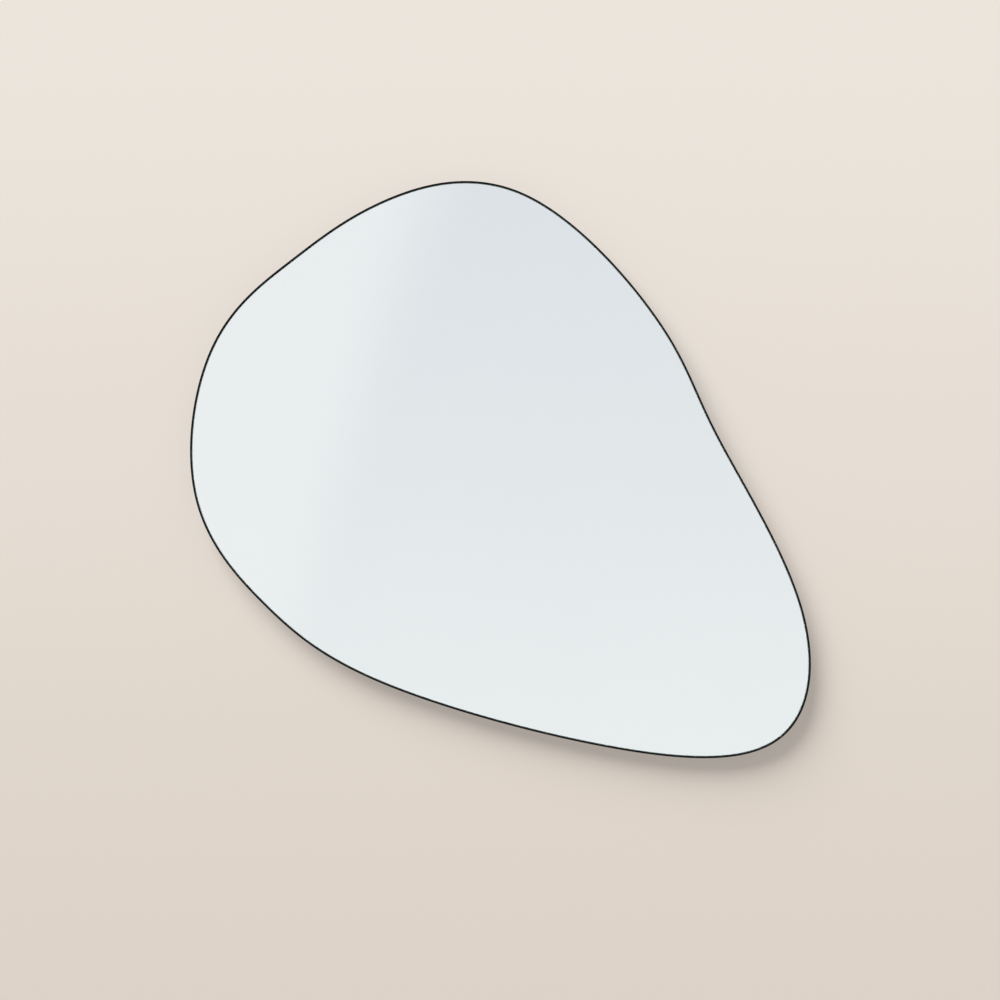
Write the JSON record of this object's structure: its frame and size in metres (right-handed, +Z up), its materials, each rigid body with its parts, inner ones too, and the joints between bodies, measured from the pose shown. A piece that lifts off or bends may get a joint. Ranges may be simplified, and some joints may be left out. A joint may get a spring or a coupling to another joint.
{
  "type": "wall mirror",
  "caption": "Pebble-shaped wall mirror: silvered glass on a backing board inside a slim black steel strip, hung on a wall rail by a hooked rail on its back.",
  "frame": {"origin": "centre of the wall rail's row of holes, on the wall plane", "axes": "+X to the right as seen by someone facing the mirror, +Y into the wall, +Z up"},
  "size_m": [0.7987, 0.0243, 0.7428],
  "materials": {
    "black_rim": "matt black powder coat on steel",
    "float_glass": "clear polished float glass, faint green at the edge",
    "silvering": "silver mirror coating",
    "safety_film": "woven-backed grey safety film",
    "foam_tape": "white closed-cell foam tape",
    "fibreboard": "raw medium-density fibreboard",
    "zinc_screw": "bright zinc plate",
    "rail_aluminium": "mill-finish extruded aluminium",
    "bumper_rubber": "moulded black rubber"
  },
  "bodies": {
    "wall_bracket": {"wall_rail": "rail_aluminium"},
    "mirror": {"rim_band": "black_rim", "mirror_glass": "float_glass", "silver_coat": "silvering", "safety_film": "safety_film", "tape_strip_1": "foam_tape", "tape_strip_2": "foam_tape", "tape_strip_3": "foam_tape", "tape_strip_4": "foam_tape", "tape_strip_5": "foam_tape", "tape_strip_6": "foam_tape", "backing_board": "fibreboard", "rim_ear_1": "black_rim", "rim_ear_2": "black_rim", "rim_ear_3": "black_rim", "rim_ear_4": "black_rim", "rim_ear_5": "black_rim", "rim_ear_6": "black_rim", "ear_screws": "zinc_screw", "hanging_rail": "rail_aluminium", "rail_screws": "zinc_screw", "bumper_left": "bumper_rubber", "bumper_middle": "bumper_rubber", "bumper_right": "bumper_rubber"}
  },
  "joints": [
    {"name": "mirror_lift", "type": "slide", "parent": "wall_bracket", "child": "mirror", "axis": [0, 0, 1], "range_m": [0, 0.012]}
  ]
}
